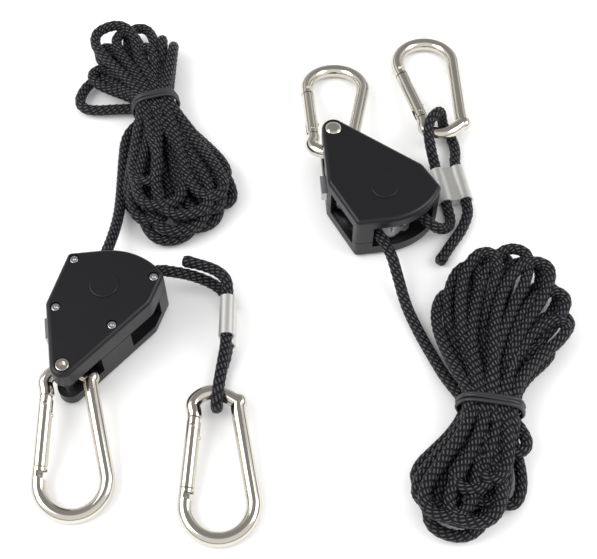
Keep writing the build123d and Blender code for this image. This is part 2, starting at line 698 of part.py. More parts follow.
def inner_rope():
    """Rope over the sheave, from the free-end leg to the load-end leg."""
    with BuildPart() as rope:
        with BuildLine(Plane.XY.offset(SHEAVE_Z)) as path:
            Line((-ROPE_ON_SHEAVE, FREE_LEG_END), (-ROPE_ON_SHEAVE, 0))
            ThreePointArc((-ROPE_ON_SHEAVE, 0), (0, ROPE_ON_SHEAVE), (ROPE_ON_SHEAVE, 0))
            Line((ROPE_ON_SHEAVE, 0), (ROPE_ON_SHEAVE, LOAD_LEG_END))
        with BuildSketch(Plane((-ROPE_ON_SHEAVE, FREE_LEG_END, SHEAVE_Z), z_dir=(0, 1, 0))):
            Circle(ROPE_RADIUS)
        sweep(path=path.line)
    return rope.part


def ferrule():
    """Double-barrel ferrule about its centre: barrels along Y, side by side along X."""
    with BuildPart() as sleeve:
        with BuildSketch(Plane.XZ.offset(-FERRULE_LENGTH / 2)):
            with Locations((-BARREL_SPACING / 2, 0), (BARREL_SPACING / 2, 0)):
                Circle(BARREL_RADIUS)
            Rectangle(BARREL_SPACING, FERRULE_WEB)
            with Locations((-BARREL_SPACING / 2, 0), (BARREL_SPACING / 2, 0)):
                Circle(ROPE_RADIUS + BORE_GAP, mode=Mode.SUBTRACT)
        extrude(amount=FERRULE_LENGTH)
    return sleeve.part


def hank_lobe(circles, band_plane, side):
    """One lobe of a hank: the hull of hand-placed circles, rounded over, cut square at the band."""
    with BuildPart() as lobe:
        with BuildSketch():
            for x, y, radius in circles:
                with Locations((x, y)):
                    Circle(radius)
            make_hull()
        extrude(amount=HANK_HEIGHT)
        fillet(lobe.faces().sort_by(Axis.Z)[-1].edges(), HANK_ROUND)
        split(bisect_by=band_plane.offset(side * BAND_WIDTH / 2), keep=Keep.TOP if side > 0 else Keep.BOTTOM)
    return lobe.part


def hank(upper, lower, band_plane, core_width):
    """Tied hank: two rounded lobes on a narrower core that the band goes round."""
    with BuildPart() as coil:
        add(hank_lobe(upper, band_plane, 1))
        add(hank_lobe(lower, band_plane, -1))
        with BuildSketch(band_plane):
            RectangleRounded(core_width, HANK_HEIGHT - 2 * BAND_THICKNESS, 4)
        extrude(amount=BAND_WIDTH / 2, both=True)
    return coil.part


def hank_band(band_plane, core_width):
    """Doubled rubber band round the hank's waist."""
    core_height = HANK_HEIGHT - 2 * BAND_THICKNESS
    with BuildPart() as band:
        with BuildSketch(band_plane):
            RectangleRounded(core_width + 2 * BAND_THICKNESS, core_height + 2 * BAND_THICKNESS, 5)
            RectangleRounded(core_width, core_height, 4, mode=Mode.SUBTRACT)
        extrude(amount=BAND_WIDTH / 2, both=True)
    return band.part


# ================================================================ layout of the pair
def on_unit(pose, x, y, z=SHEAVE_Z):
    """Place of a housing point on the surface."""
    return tuple((pose * Location((x, y, z))).position)


def on_ferrule(pose, barrel, along):
    """Place of a point on a ferrule barrel's axis."""
    return tuple((pose * Location((barrel * BARREL_SPACING / 2, along, 0))).position)


def hook_pose(eye, heading, back_z, flipped):
    """Place a hook so that its big end rests on the surface and its small end lies at a height."""
    lean = degrees(asin((back_z - WIRE_RADIUS) / (SMALL_BEND + BEND_SPACING + BIG_BEND)))
    eye_z = back_z - SMALL_BEND * sin(radians(lean))
    over = Location((0, 0, 0), (0, 180 if flipped else 0, 0))
    return Location((*eye, eye_z), (0, 0, heading)) * Location((0, 0, 0), (-lean, 0, 0)) * over


def hung_on_pin(pose, heading):
    """Eye centre of a hook that is pulled out against the tip pin."""
    pin_x, pin_y, _ = on_unit(pose, 0, TIP_Y)
    hang = SMALL_BEND - WIRE_RADIUS - PIN_RADIUS - PIN_CLEARANCE
    return pin_x - hang * sin(radians(heading)), pin_y + hang * cos(radians(heading))


RIGHT_BODY_HEADING = -2.6
LEFT_BODY_HEADING = 186.5
right_body_hook = hook_pose(hung_on_pin(right_pose, RIGHT_BODY_HEADING), RIGHT_BODY_HEADING, 11.8, True)
left_body_hook = hook_pose(hung_on_pin(left_pose, LEFT_BODY_HEADING), LEFT_BODY_HEADING, 9.6, False)
ROPED_BACK_Z = 2 * ROPE_RADIUS + ROPE_GAP + WIRE_RADIUS
right_load_hook = hook_pose((22.8, 39.4), 8.8, ROPED_BACK_Z, True)
left_load_hook = hook_pose((-53.15, -73.85), 183.4, ROPED_BACK_Z, False)

right_ferrule = Location((24.6, 12.9, BARREL_RADIUS), (0, 0, 10.3))
left_ferrule = Location((-50.7, -42.3, BARREL_RADIUS + BARREL_SPACING / 2)) * Location((0, 0, 0), (0, 90, 0))
BARREL_OUT = FERRULE_LENGTH / 2 + 2.8

right_load_route = [
    on_unit(right_pose, ROPE_ON_SHEAVE, LOAD_LEG_END), on_unit(right_pose, ROPE_ON_SHEAVE, LOAD_TURN),
    (20.6, -7.0, 5.2), (23.6, -2.6, 2.7),
    on_ferrule(right_ferrule, -1, -BARREL_OUT), on_ferrule(right_ferrule, -1, BARREL_OUT),
    (17.6, 26.5, 7.5), (16.6, 33.5, 11.6), (21.9, 40.2, 11.4), (23.2, 39.4, 2.0),
    (26.6, 33.2, 2.0), (27.2, 27.0, 2.2),
    on_ferrule(right_ferrule, 1, BARREL_OUT), on_ferrule(right_ferrule, 1, -BARREL_OUT),
    (29.3, 0.2, 2.5), (26.6, -5.8, 2.2), (22.4, -11.6, 2.1), (18.7, -17.8, 2.2),
]
left_load_route = [
    on_unit(left_pose, ROPE_ON_SHEAVE, LOAD_LEG_END), on_unit(left_pose, ROPE_ON_SHEAVE, LOAD_TURN),
    (-67.9, -25.8, 8.4), (-61.6, -25.9, 5.8), (-54.3, -28.0, 3.0),
    on_ferrule(left_ferrule, 1, BARREL_OUT), on_ferrule(left_ferrule, 1, -BARREL_OUT),
    (-53.2, -60.0, 2.05), (-53.4, -71.9, 2.0), (-53.0, -71.9, 11.3), (-51.4, -58.0, 10.7),
    on_ferrule(left_ferrule, -1, -BARREL_OUT), on_ferrule(left_ferrule, -1, BARREL_OUT),
    (-51.6, -27.4, 9.9), (-57.6, -22.6, 9.2), (-65.6, -20.0, 8.2),
]
right_free_route = [
    on_unit(right_pose, -ROPE_ON_SHEAVE, FREE_LEG_END), on_unit(right_pose, -ROPE_ON_SHEAVE, FREE_TURN),
    (4.4, -25.0, 5.2), (6.8, -34.8, 2.7), (11.0, -45.2, 2.1),
    (15.0, -54.2, 2.6), (18.0, -61.3, 3.8),
]
left_free_route = [
    on_unit(left_pose, -ROPE_ON_SHEAVE, FREE_LEG_END), on_unit(left_pose, -ROPE_ON_SHEAVE, FREE_TURN),
    (-88.8, -3.0, 5.0), (-89.1, 10.0, 2.4), (-89.5, 23.0, 2.1), (-89.3, 34.5, 3.0),
]
right_upper_lobe = [(41.9, -20.5, 8.5), (51.9, -33.0, 8.5), (25.9, -30.0, 9.0), (26.5, -75.0, 5.0), (36.3, -77.0, 5.5)]
right_lower_lobe = [(25.0, -70.0, 5.0), (36.3, -71.5, 5.5), (15.9, -100.0, 10.3), (18.9, -103.0, 10.0), (30.9, -95.0, 7.5)]
left_upper_lobe = [(-99.1, 71.0, 8.5), (-90.6, 74.2, 7.0), (-76.6, 72.0, 5.0), (-101.1, 54.0, 8.0),
                   (-83.6, 43.0, 4.5), (-74.2, 45.0, 4.8)]
left_lower_lobe = [(-82.3, 48.0, 4.4), (-74.2, 49.0, 4.8), (-59.1, 7.0, 10.0), (-70.1, -3.0, 9.0), (-78.1, 4.0, 8.5)]
right_band = Plane((31.2, -73.0, HANK_HEIGHT / 2), x_dir=(0.986, -0.16, 0), z_dir=(0.16, 0.986, 0))
left_band = Plane((-78.6, 45.5, HANK_HEIGHT / 2), x_dir=(0.97, 0.25, 0), z_dir=(-0.25, 0.97, 0))
RIGHT_CORE_WIDTH = 20.0
LEFT_CORE_WIDTH = 16.0


def main():
    """Build every piece of both hangers and write the STEP files."""
    os.makedirs("parts", exist_ok=True)
    unit_pieces = {
        "plain_shell": plain_shell(),
        "screw_shell": screw_shell(),
        "housing_screws": housing_screws(),
        "pin_screw": pin_screw(),
        "pin_barrel": pin_barrel(),
        "sheave": sheave(),
        "sheave_axle": sheave_axle(),
        "release_pawl": release_pawl(),
        "pawl_spring": pawl_spring(),
        "inner_rope": inner_rope(),
    }
    for side, pose in (("right", right_pose), ("left", left_pose)):
        for name, piece in unit_pieces.items():
            save(pose * piece, f"{side}_{name}")
    hook_pieces = {"frame": hook_frame(), "gate": hook_gate(), "gate_rivet": gate_rivet()}
    hooks = {
        "right_body_hook": right_body_hook,
        "left_body_hook": left_body_hook,
        "right_load_hook": right_load_hook,
        "left_load_hook": left_load_hook,
    }
    for hook_name, pose in hooks.items():
        for name, piece in hook_pieces.items():
            save(pose * piece, f"{hook_name}_{name}")
    sleeve = ferrule()
    save(right_ferrule * sleeve, "right_ferrule")
    save(left_ferrule * sleeve, "left_ferrule")
    save(rope_tube(right_load_route, "right_load_rope"), "right_load_rope")
    save(rope_tube(left_load_route, "left_load_rope"), "left_load_rope")
    save(rope_tube(right_free_route, "right_free_rope"), "right_free_rope")
    save(rope_tube(left_free_route, "left_free_rope"), "left_free_rope")
    save(hank(right_upper_lobe, right_lower_lobe, right_band, RIGHT_CORE_WIDTH), "right_hank")
    save(hank(left_upper_lobe, left_lower_lobe, left_band, LEFT_CORE_WIDTH), "left_hank")
    save(hank_band(right_band, RIGHT_CORE_WIDTH), "right_hank_band")
    save(hank_band(left_band, LEFT_CORE_WIDTH), "left_hank_band")


if __name__ == "__main__":
    main()
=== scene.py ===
"""Looks of the rope ratchet hanger pair: finishes of the CAD pieces, ropes, hanks and ties.

Every length is in metres in the part's own frame: +Z up, origin below the right hanger's axle.
"""

import json
import logging
from dataclasses import dataclass
from enum import Enum
from math import cos, pi, radians, sin

import bpy
from mathutils import Matrix, Vector

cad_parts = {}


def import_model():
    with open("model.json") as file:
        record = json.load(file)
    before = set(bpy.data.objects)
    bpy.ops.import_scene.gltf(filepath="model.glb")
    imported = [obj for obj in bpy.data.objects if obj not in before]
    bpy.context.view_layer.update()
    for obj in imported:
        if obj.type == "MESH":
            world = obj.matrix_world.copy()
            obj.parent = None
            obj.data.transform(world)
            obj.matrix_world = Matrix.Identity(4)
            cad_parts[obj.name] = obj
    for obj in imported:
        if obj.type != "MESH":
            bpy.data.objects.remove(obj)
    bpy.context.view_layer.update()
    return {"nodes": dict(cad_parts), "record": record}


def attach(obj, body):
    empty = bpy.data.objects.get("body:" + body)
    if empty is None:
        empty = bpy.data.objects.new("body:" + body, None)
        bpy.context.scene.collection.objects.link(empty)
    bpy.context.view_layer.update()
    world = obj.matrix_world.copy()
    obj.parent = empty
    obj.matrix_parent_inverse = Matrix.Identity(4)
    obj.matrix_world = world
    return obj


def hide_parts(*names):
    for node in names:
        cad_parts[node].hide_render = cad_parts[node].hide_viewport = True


logging.basicConfig(level=logging.INFO, format="%(message)s")
log = logging.getLogger("hangers")

Point = tuple[float, float, float]
MM = 0.001

# Sizes of the braided rope. Two crossing waves make its slanted stitches: how many of each go
# round, and which way.
ROPE_DIAMETER = 4 * MM
STITCH_PITCH = 2.42 * MM
STRANDS = 9
COUNTER_STRANDS = -3
COUNTER_SHARE = 0.4
STITCH_EDGES = (-0.35, 0.95)
COUNTER_EDGES = (-1.0, 0.35)
FIBRE_HEIGHT = 0.3
# Share of the full radius at the rope's cut end, from the last ring inwards.
END_TAPER = (0.88, 1.06, 1.1, 1.07, 1.03, 1.0)

# The colour of a surface drifts over patches this many times the size of its grain.
PATCH_GRAINS = 14

# A hank loop's half: how far out each point lies, and its share of the loop's half width.
LOOP_SHAPE = ((0.3, 0.35), (0.58, 0.8), (0.82, 1.05), (1.0, 0.62))
TIE_HEIGHT = 12.6 * MM


# ---------------------------------------------------------------- small helpers
def linear(hex_colour: str) -> tuple[float, float, float, float]:
    """Turn an sRGB hex colour into Blender's linear values.

    Args:
        hex_colour: six hex digits after a hash sign.

    Returns:
        Linear red, green, blue and an alpha of 1.
    """
    channels = [int(hex_colour[i:i + 2], 16) / 255 for i in (1, 3, 5)]
    values = [c / 12.92 if c <= 0.04045 else ((c + 0.055) / 1.055) ** 2.4 for c in channels]
    return (*values, 1.0)


def add_node(tree: bpy.types.NodeTree, kind: str, settings: dict | None = None,
             inputs: dict | None = None) -> bpy.types.Node:
    """Add one node with its settings, and set or link its inputs.

    Args:
        tree: the tree that gets the node.
        kind: Blender's name for the kind of node.
        settings: the node's own properties.
        inputs: a value or a socket to link from, for each input by name or number.

    Returns:
        The new node.
    """
    node = tree.nodes.new(kind)
    for name, value in (settings or {}).items():
        setattr(node, name, value)
    for key, value in (inputs or {}).items():
        if isinstance(value, bpy.types.NodeSocket):
            tree.links.new(value, node.inputs[key])
        else:
            node.inputs[key].default_value = value
    return node


def link_object(name: str, data: bpy.types.ID) -> bpy.types.Object:
    """Make an object of some data and put it in the scene."""
    thing = bpy.data.objects.new(name, data)
    bpy.context.scene.collection.objects.link(thing)
    return thing


# ---------------------------------------------------------------- finishes
class Surface(Enum):
    """How a surface was made, which settles its fine relief."""

    MOULDED = "moulded"
    PLATED = "plated"
    EXTRUDED = "extruded"
    CAST = "cast"
    BRAIDED = "braided"
    RUBBER = "rubber"


@dataclass(frozen=True)
class Finish:
    """A material as its common name, its colours and the real size of its relief."""

    name: str
    colour: str
    drift_tone_and_painted_shade: str
    metallic: float
    # Second colour: random tone drift for most finishes; for the rope it is painted shade in the
    # furrows.
    roughness: float
    surface: Surface
    grain: float
    depth: float
    roughness_spread: float = 0.06
    specular: float = 0.5

    def build(self) -> bpy.types.Material:
        """Build the finish as a node material.

        Returns:
            The material, made once and kept by its name.
        """
        if self.name in bpy.data.materials:
            return bpy.data.materials[self.name]
        material = bpy.data.materials.new(self.name)
        material.use_nodes = True
        tree = material.node_tree
        tree.nodes.clear()
        height, drift_and_painted_light_mask = self.relief(tree)
        # Colour mix: random tone drift over patches; for the rope the mask paints sheen highlight
        # on the stitch crests and shade in the furrows.
        colour = add_node(tree, "ShaderNodeMix", {"data_type": "RGBA"},
                          {0: drift_and_painted_light_mask, 6: linear(self.drift_tone_and_painted_shade), 7: linear(self.colour)})
        rough = add_node(tree, "ShaderNodeMapRange", None, {
            0: drift_and_painted_light_mask, 3: self.roughness + self.roughness_spread,
            4: self.roughness - self.roughness_spread})
        bump = add_node(tree, "ShaderNodeBump", None, {
            "Strength": 1.0, "Distance": self.depth, "Height": height})
        shader = add_node(tree, "ShaderNodeBsdfPrincipled", None, {
            "Base Color": colour.outputs[2], "Metallic": self.metallic,
            "Roughness": rough.outputs[0], "Normal": bump.outputs[0],
            "Specular IOR Level": self.specular})
        add_node(tree, "ShaderNodeOutputMaterial", None, {"Surface": shader.outputs[0]})
        return material

    def relief(self, tree: bpy.types.NodeTree) -> tuple[bpy.types.NodeSocket, bpy.types.NodeSocket]:
        """Add the nodes of the surface's fine relief.

        Args:
            tree: the material's tree.

        Returns:
            The height, and the mask that mixes the second colour into the first, both from 0 to 1:
            random tone drift for most finishes, painted highlight on the crests and painted shade
            in the furrows for the rope.
        """
        if self.surface is Surface.BRAIDED:
            return self.braid(tree)
        stretch = {Surface.EXTRUDED: (1.0, 0.06, 1.0), Surface.PLATED: (1.0, 0.35, 1.0)}
        place = add_node(tree, "ShaderNodeTexCoord")
        sized = add_node(tree, "ShaderNodeMapping", None, {
            0: place.outputs["Object"], "Scale": stretch.get(self.surface, (1.0, 1.0, 1.0))})
        fine = add_node(tree, "ShaderNodeTexNoise", None, {
            0: sized.outputs[0], "Scale": 1 / self.grain, "Detail": 3.0, "Roughness": 0.6})
        broad = add_node(tree, "ShaderNodeTexNoise", None, {
            0: place.outputs["Object"], "Scale": 1 / (PATCH_GRAINS * self.grain), "Detail": 2.0})
        return fine.outputs[0], broad.outputs[0]

    def braid(self, tree: bpy.types.NodeTree) -> tuple[bpy.types.NodeSocket, bpy.types.NodeSocket]:
        """Stitches of a solid braid, from the rope's own coordinates around and along it, with
        painted light: a light crest colour as painted sheen highlight and a near-black furrow
        colour as painted shade.

        Args:
            tree: the material's tree.

        Returns:
            The height and the colour mask.
        """
        place = add_node(tree, "ShaderNodeUVMap", {"uv_map": "braid"})
        parts = add_node(tree, "ShaderNodeSeparateXYZ", None, {0: place.outputs[0]})
        lengthwise = []
        for strands, (low, high) in ((STRANDS, STITCH_EDGES), (COUNTER_STRANDS, COUNTER_EDGES)):
            around = add_node(tree, "ShaderNodeMath", {"operation": "MULTIPLY"},
                              {0: parts.outputs[0], 1: 2 * pi * strands})
            phase = add_node(tree, "ShaderNodeMath", {"operation": "MULTIPLY_ADD"},
                             {0: parts.outputs[1], 1: 2 * pi / STITCH_PITCH, 2: around.outputs[0]})
            wave = add_node(tree, "ShaderNodeMath", {"operation": "COSINE"}, {0: phase.outputs[0]})
            lengthwise.append(add_node(
                tree, "ShaderNodeMapRange", {"interpolation_type": "SMOOTHSTEP"},
                {0: wave.outputs[0], 1: low, 2: high}))
        stitch = add_node(tree, "ShaderNodeMath", {"operation": "MULTIPLY"},
                          {0: lengthwise[0].outputs[0], 1: lengthwise[1].outputs[0]})
        fibre = add_node(tree, "ShaderNodeTexNoise", None, {
            0: place.outputs[0], "Scale": 1 / self.grain, "Detail": 2.0})
        rough_height = add_node(tree, "ShaderNodeMath", {"operation": "MULTIPLY_ADD"},
                                {0: fibre.outputs[0], 1: FIBRE_HEIGHT, 2: stitch.outputs[0]})
        # Painted light: stitch crests get the light colour as a painted sheen highlight, furrows
        # the near-black colour as painted shade.
        painted_sheen_and_shade_mask = add_node(tree, "ShaderNodeMath", {"operation": "MULTIPLY"},
                         {0: stitch.outputs[0], 1: fibre.outputs[0]})
        return rough_height.outputs[0], painted_sheen_and_shade_mask.outputs[0]


NYLON = Finish(
    "moulded_nylon", "#141419", "#101014", 0.0, 0.36,
    Surface.MOULDED, 0.35 * MM, 0.006 * MM, specular=0.36)
NICKEL = Finish(
    "nickel_plated_wire", "#dcd7cd", "#c9c3b8", 1.0, 0.13,
    Surface.PLATED, 1.2 * MM, 0.004 * MM, roughness_spread=0.04)
ZINC = Finish(
    "zinc_plated_steel", "#d2d2d4", "#b9b9bc", 1.0, 0.22,
    Surface.PLATED, 0.5 * MM, 0.004 * MM)
ALUMINIUM = Finish(
    "extruded_aluminium", "#e6e5e2", "#cfcecb", 1.0, 0.46,
    Surface.EXTRUDED, 0.3 * MM, 0.008 * MM)
CAST_ALUMINIUM = Finish(
    "tumbled_casting", "#e6e6e6", "#c4c4c5", 1.0, 0.28,
    Surface.CAST, 0.6 * MM, 0.02 * MM)
STEEL = Finish(
    "turned_steel", "#b4b4b6", "#98989a", 1.0, 0.28,
    Surface.PLATED, 0.4 * MM, 0.005 * MM)
# Rope colours are painted light: #70707a is a painted sheen highlight on the stitch crests, #020203
# is painted shade in the furrows between strands.
ROPE = Finish(
    "braided_polypropylene", "#70707a", "#020203", 0.0, 0.38,
    Surface.BRAIDED, 1.3 * MM, 0.3 * MM, roughness_spread=0.12, specular=0.2)
RUBBER = Finish(
    "black_elastic", "#2b2b2e", "#1d1d20", 0.0, 0.45,
    Surface.RUBBER, 0.8 * MM, 0.02 * MM)

SLOT_FINISHES = {
    "shell": NYLON, "screws": ZINC, "pin": NICKEL, "pin_screw": NICKEL, "sheave": CAST_ALUMINIUM,
    "axle": STEEL, "pawl": ZINC, "spring": STEEL, "rope": ROPE, "ferrule": ALUMINIUM,
    "hook": NICKEL, "gate": NICKEL, "rivet": NICKEL, "band": RUBBER,
}


# ---------------------------------------------------------------- rope
@dataclass
class Rope:
    """Braided rope along a route: one smooth line, and a round tube with braid coordinates."""

    name: str
    route: list[Point]
    radius: float = ROPE_DIAMETER / 2
    sides: int = 3 * STRANDS
    step: float = STITCH_PITCH / 3
    stitch_depth: float = 0.26 * MM
    cut_ends: bool = True

    def line(self) -> list[Vector]:
        """Read the smooth centreline from a NURBS spline with the route as its control points.

        Returns:
            Points along the line, a step apart.
        """
        curve = bpy.data.curves.new(self.name + "_line", "CURVE")
        curve.dimensions = "3D"
        spline = curve.splines.new("NURBS")
        spline.points.add(len(self.route) - 1)
        for point, place in zip(spline.points, self.route):
            point.co = (*place, 1.0)
        spline.order_u = 3
        spline.use_endpoint_u = True
        spline.resolution_u = 16
        guide = link_object(self.name + "_guide", curve)
        bpy.context.view_layer.update()
        drawn = bpy.data.meshes.new_from_object(guide)
        raw = [vertex.co.copy() for vertex in drawn.vertices]
        bpy.data.objects.remove(guide)
        bpy.data.curves.remove(curve)
        bpy.data.meshes.remove(drawn)
        return evenly_spaced(raw, self.step)

    def build(self) -> tuple[bpy.types.Object, list[Vector]]:
        """Sweep the rope's round section along its line.

        Returns:
            The rope's object and the points that it follows.
        """
        path = self.line()
        tangents = [(after - before).normalized() for before, after in
                    zip([path[0], *path[:-1]], [*path[1:], path[-1]])]
        across = tangents[0].orthogonal().normalized()
        rings, along, travelled = [], [], 0.0
        for index, (centre, tangent) in enumerate(zip(path, tangents)):
            across = (across - tangent * across.dot(tangent)).normalized()
            upward = tangent.cross(across)
            travelled += (centre - path[index - 1]).length if index else 0.0
            taper = self.end_taper(index, len(path))
            angles = (2 * pi * k / self.sides for k in range(self.sides))
            rings.append([centre + taper * self.stitched_radius(a, travelled)
                          * (cos(a) * across + sin(a) * upward) for a in angles])
            along.append(travelled)
        vertices = [place for ring in rings for place in ring] + [path[0], path[-1]]
        faces, corners = [], []
        for row in range(len(rings) - 1):
            for k in range(self.sides):
                after = (k + 1) % self.sides
                low, high = row * self.sides, (row + 1) * self.sides
                faces.append((low + k, low + after, high + after, high + k))
                u, v = k / self.sides, (k + 1) / self.sides
                corners += [(u, along[row]), (v, along[row]),
                            (v, along[row + 1]), (u, along[row + 1])]
        start_pole, end_pole = len(vertices) - 2, len(vertices) - 1
        for pole, first, turn in ((start_pole, 0, -1), (end_pole, len(rings) - 1, 1)):
            for k in range(self.sides):
                pair = (first * self.sides + k, first * self.sides + (k + 1) % self.sides)
                faces.append((*pair[::turn], pole))
                corners += [(k / self.sides, along[first])] * 3
        mesh = bpy.data.meshes.new(self.name)
        mesh.from_pydata(vertices, [], faces)
        layer = mesh.uv_layers.new(name="braid")
        for loop, place in zip(layer.data, corners):
            loop.uv = place
        mesh.shade_smooth()
        mesh.materials.append(ROPE.build())
        return link_object(self.name, mesh), path

    def stitched_radius(self, angle: float, along: float) -> float:
        """Radius at a place on the rope: full on a stitch and less in the furrows between."""
        phase = 2 * pi * along / STITCH_PITCH
        stitch = 0.5 + 0.5 * cos(STRANDS * angle + phase)
        counter = 1 - COUNTER_SHARE + COUNTER_SHARE * cos(COUNTER_STRANDS * angle + phase)
        return self.radius - self.stitch_depth * (1 - stitch * counter)

    def end_taper(self, index: int, count: int) -> float:
        """Share of the full radius near the far end, where the fibres are cut and fused."""
        if not self.cut_ends:
            return 1.0
        return END_TAPER[min(count - 1 - index, len(END_TAPER) - 1)]


def evenly_spaced(raw: list[Vector], step: float) -> list[Vector]:
    """Walk along a line of points and give points a step apart, with both ends kept.

    Args:
        raw: the line's own points.
        step: the distance wanted between two points.

    Returns:
        The evenly spaced points.
    """
    lengths = [(b - a).length for a, b in zip(raw, raw[1:])]
    total = sum(lengths)
    count = max(2, round(total / step))
    wanted = [total * k / count for k in range(count + 1)]
    points, passed, segment = [], 0.0, 0
    for target in wanted:
        while segment < len(lengths) - 1 and passed + lengths[segment] < target:
            passed += lengths[segment]
            segment += 1
        share = (target - passed) / lengths[segment] if lengths[segment] else 0.0
        points.append(raw[segment].lerp(raw[segment + 1], min(1.0, max(0.0, share))))
    return points


def line_length(path: list[Vector]) -> float:
    """Length of a line of points."""
    return sum((b - a).length for a, b in zip(path, path[1:]))


# ---------------------------------------------------------------- hank
@dataclass(frozen=True)
class Bight:
    """One loop of a hank: where its tip lies, its half width and how far it stands on edge."""

    x: float
    y: float
    z: float
    half_width: float
    on_edge: float = 0.0


@dataclass
class Hank:
    """Rope wound to and fro through the tie, in loops that fan out on both sides of it."""

    tie: Point
    lateral: tuple[float, float]
    width: float
    first_side: list[Bight]
    second_side: list[Bight]
    bow: tuple[float, float] = (0.0, 0.0)
    rows: tuple[float, ...] = (3.4 * MM, 7.0 * MM, 10.5 * MM)
    half_tie: float = 2.6 * MM

    def crossing(self, index: int, count: int) -> Vector:
        """Place of one pass of the rope through the tie."""
        share = index / (count - 1) - 0.5
        lateral = Vector((*self.lateral, 0.0))
        row = self.rows[(index * 2) % len(self.rows)]
        return Vector((self.tie[0], self.tie[1], row)) + lateral * share * self.width

    def loop(self, start: Vector, bight: Bight, end: Vector, bow: float) -> list[Vector]:
        """Points of one loop, from one pass through the tie to the next.

        Args:
            start: where the rope leaves the tie.
            bight: the loop's tip and width.
            end: where the rope comes back into the tie.
            bow: how far the loop's middle lies to the side, in millimetres.

        Returns:
            The loop's points in order.
        """
        tip = Vector((bight.x, bight.y, bight.z)) * MM
        middle = (start + end) / 2
        out = tip - middle
        flat = Vector((out.x, out.y, 0.0)).normalized()
        side = Vector((flat.y, -flat.x, 0.0))
        if side.dot(start - end) < 0 and bight.on_edge < 0.5:
            side = -side
        side = (side * cos(bight.on_edge) + Vector((0, 0, 1)) * sin(bight.on_edge)).normalized()
        half = bight.half_width * MM
        swing = Vector((*self.lateral, 0.0)) * bow * MM
        points = []
        for along, wide in LOOP_SHAPE:
            points.append(start.lerp(middle, along) + out * along + side * half * wide
                          + swing * sin(pi * along))
        for along, wide in reversed(LOOP_SHAPE):
            points.append(end.lerp(middle, along) + out * along - side * half * wide
                          + swing * sin(pi * along))
        return points

    def route(self, lead_in: list[Point]) -> list[Point]:
        """Whole route of the free rope: its lead in, then every loop of the hank in turn.

        Args:
            lead_in: the points from the housing to the tie.

        Returns:
            All the route's points.
        """
        bights = [b for pair in zip(self.first_side, self.second_side) for b in pair]
        count = len(bights) + 1
        places = [self.crossing(k, count) for k in range(count)]
        tip = Vector((self.first_side[0].x, self.first_side[0].y, 0.0)) * MM
        away = tip - Vector((*self.tie[:2], 0.0))
        along = Vector((-self.lateral[1], self.lateral[0], 0.0))
        along = along if along.dot(away) > 0 else -along
        points = [Vector(p) for p in lead_in]
        for k, bight in enumerate(bights):
            heading = along if k % 2 == 0 else -along
            reach = heading * self.half_tie
            points += [places[k] - reach, places[k] + reach]
            points += self.loop(places[k] + reach, bight, places[k + 1] + reach, self.bow[k % 2])
        heading = along if len(bights) % 2 == 0 else -along
        points += [places[-1] - heading * self.half_tie, places[-1] + heading * self.half_tie]
        return [tuple(p) for p in points]


